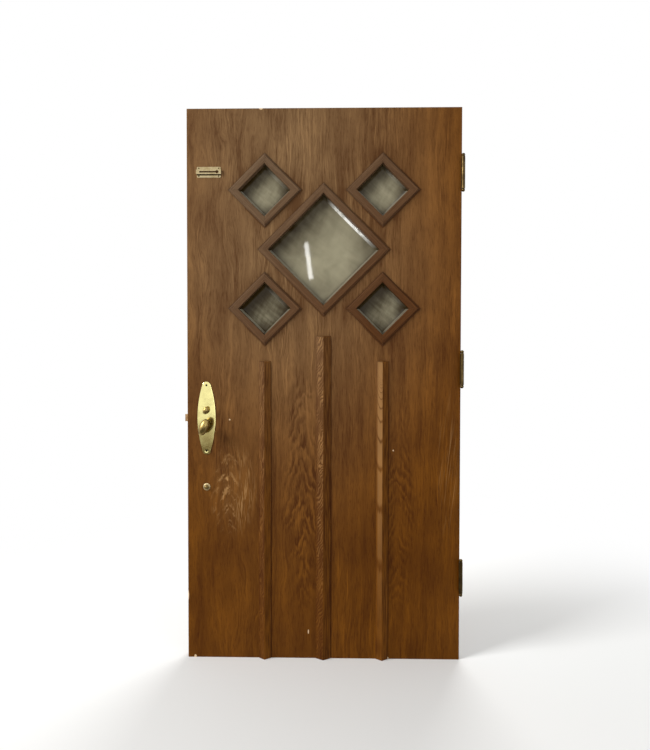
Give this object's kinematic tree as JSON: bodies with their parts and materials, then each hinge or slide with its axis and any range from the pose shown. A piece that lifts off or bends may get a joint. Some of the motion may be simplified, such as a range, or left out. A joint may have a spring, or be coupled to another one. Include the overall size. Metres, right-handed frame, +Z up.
{
  "type": "entry door leaf",
  "caption": "Flush stained oak entry door leaf with diamond lites of bevelled glass, planted ridge mouldings, mortise lock with oval knobs, mortise bolt, chain guard and butt hinges.",
  "frame": {"origin": "middle of the leaf's bottom edge, half way through its thickness", "axes": "+X across the leaf to the hinges, +Y from the room to the street, +Z up"},
  "size_m": [1.0816, 0.1824, 2.136],
  "materials": {
    "stained_oak": "brown stain under old satin varnish",
    "ridge_oak": "brown stain under old satin varnish",
    "dark_oak": "reddish brown stain under old satin varnish",
    "bevelled_glass": "dusty polished plate with a ground and polished bevel",
    "aged_brass": "dark aged brass",
    "antique_brass": "pale worn brass",
    "polished_brass": "polished brass",
    "steel": "plain rolled steel"
  },
  "bodies": {
    "jamb_side": {"hinge_top_jamb_leaf": "aged_brass", "hinge_middle_jamb_leaf": "aged_brass", "hinge_bottom_jamb_leaf": "aged_brass", "hinge_top_pin": "aged_brass", "hinge_middle_pin": "aged_brass", "hinge_bottom_pin": "aged_brass", "hinge_ball_plugs": "aged_brass"},
    "leaf": {"door_slab": "stained_oak", "ridge_moulding_centre": "ridge_oak", "ridge_moulding_left": "ridge_oak", "ridge_moulding_right": "ridge_oak", "lite_frame_centre": "dark_oak", "lite_frame_upper_left": "dark_oak", "lite_frame_upper_right": "dark_oak", "lite_frame_lower_left": "dark_oak", "lite_frame_lower_right": "dark_oak", "street_frame_centre": "dark_oak", "street_frame_upper_left": "dark_oak", "street_frame_upper_right": "dark_oak", "street_frame_lower_left": "dark_oak", "street_frame_lower_right": "dark_oak", "glass_centre": "bevelled_glass", "glass_upper_left": "bevelled_glass", "glass_upper_right": "bevelled_glass", "glass_lower_left": "bevelled_glass", "glass_lower_right": "bevelled_glass", "hinge_top_door_leaf": "aged_brass", "hinge_middle_door_leaf": "aged_brass", "hinge_bottom_door_leaf": "aged_brass", "hinge_screws": "aged_brass", "lock_case": "steel", "lock_cover": "steel", "lock_front": "polished_brass", "lock_front_screws": "polished_brass", "latch_spring": "steel", "room_escutcheon": "polished_brass", "street_escutcheon": "polished_brass", "escutcheon_screws": "polished_brass", "lock_cylinder": "polished_brass", "chain_guard_plate": "antique_brass", "chain_guard_screws": "antique_brass", "bolt_case": "steel", "bolt_cover": "steel", "bolt_front_screws": "polished_brass", "bolt_rose": "antique_brass"},
    "knobs": {"room_knob": "polished_brass", "street_knob": "polished_brass", "spindle": "steel", "knob_hub": "polished_brass", "knob_set_screws": "steel"},
    "latch": {"latch_bolt": "polished_brass"},
    "turn": {"turn_knob": "polished_brass", "turn_cam": "polished_brass"},
    "deadbolt_body": {"deadbolt": "polished_brass"},
    "plug": {"cylinder_plug": "polished_brass"},
    "small_turn": {"bolt_turn": "antique_brass", "bolt_hub": "polished_brass"},
    "bolt_body": {"bolt": "polished_brass"}
  },
  "joints": [
    {"name": "leaf_swing", "type": "hinge", "parent": "jamb_side", "child": "leaf", "pos_m": [0.5315, -0.04125, 0], "axis": [0, 0, 1], "range_deg": [0, 170]},
    {"name": "knob_turn", "type": "hinge", "parent": "leaf", "child": "knobs", "pos_m": [-0.4555, 0, 0.911], "axis": [0, 1, 0], "range_deg": [0, 45], "stiffness_Nm_per_rad": 0.5},
    {"name": "latch_slide", "type": "slide", "parent": "leaf", "child": "latch", "axis": [1, 0, 0], "range_m": [0, 0.013], "deforming": ["latch_spring"]},
    {"name": "turn_knob_turn", "type": "hinge", "parent": "leaf", "child": "turn", "pos_m": [-0.4555, 0, 0.972], "axis": [0, -1, 0], "range_deg": [0, 90]},
    {"name": "deadbolt_slide", "type": "slide", "parent": "leaf", "child": "deadbolt_body", "axis": [-1, 0, 0], "range_m": [0, 0.02263]},
    {"name": "plug_turn", "type": "hinge", "parent": "leaf", "child": "plug", "pos_m": [-0.4555, 0, 0.972], "axis": [0, 1, 0], "range_deg": [0, 90]},
    {"name": "small_turn_turn", "type": "hinge", "parent": "leaf", "child": "small_turn", "pos_m": [-0.4555, 0, 0.672], "axis": [0, -1, 0], "range_deg": [0, 90]},
    {"name": "bolt_slide", "type": "slide", "parent": "leaf", "child": "bolt_body", "axis": [-1, 0, 0], "range_m": [0, 0.01273]}
  ],
  "couplings": [
    {"joint": "latch_slide", "follows": "knob_turn", "m_per_rad": 0.016552},
    {"joint": "turn_knob_turn", "follows": "deadbolt_slide", "rad_per_m": 69.42},
    {"joint": "small_turn_turn", "follows": "bolt_slide", "rad_per_m": 123.41}
  ]
}
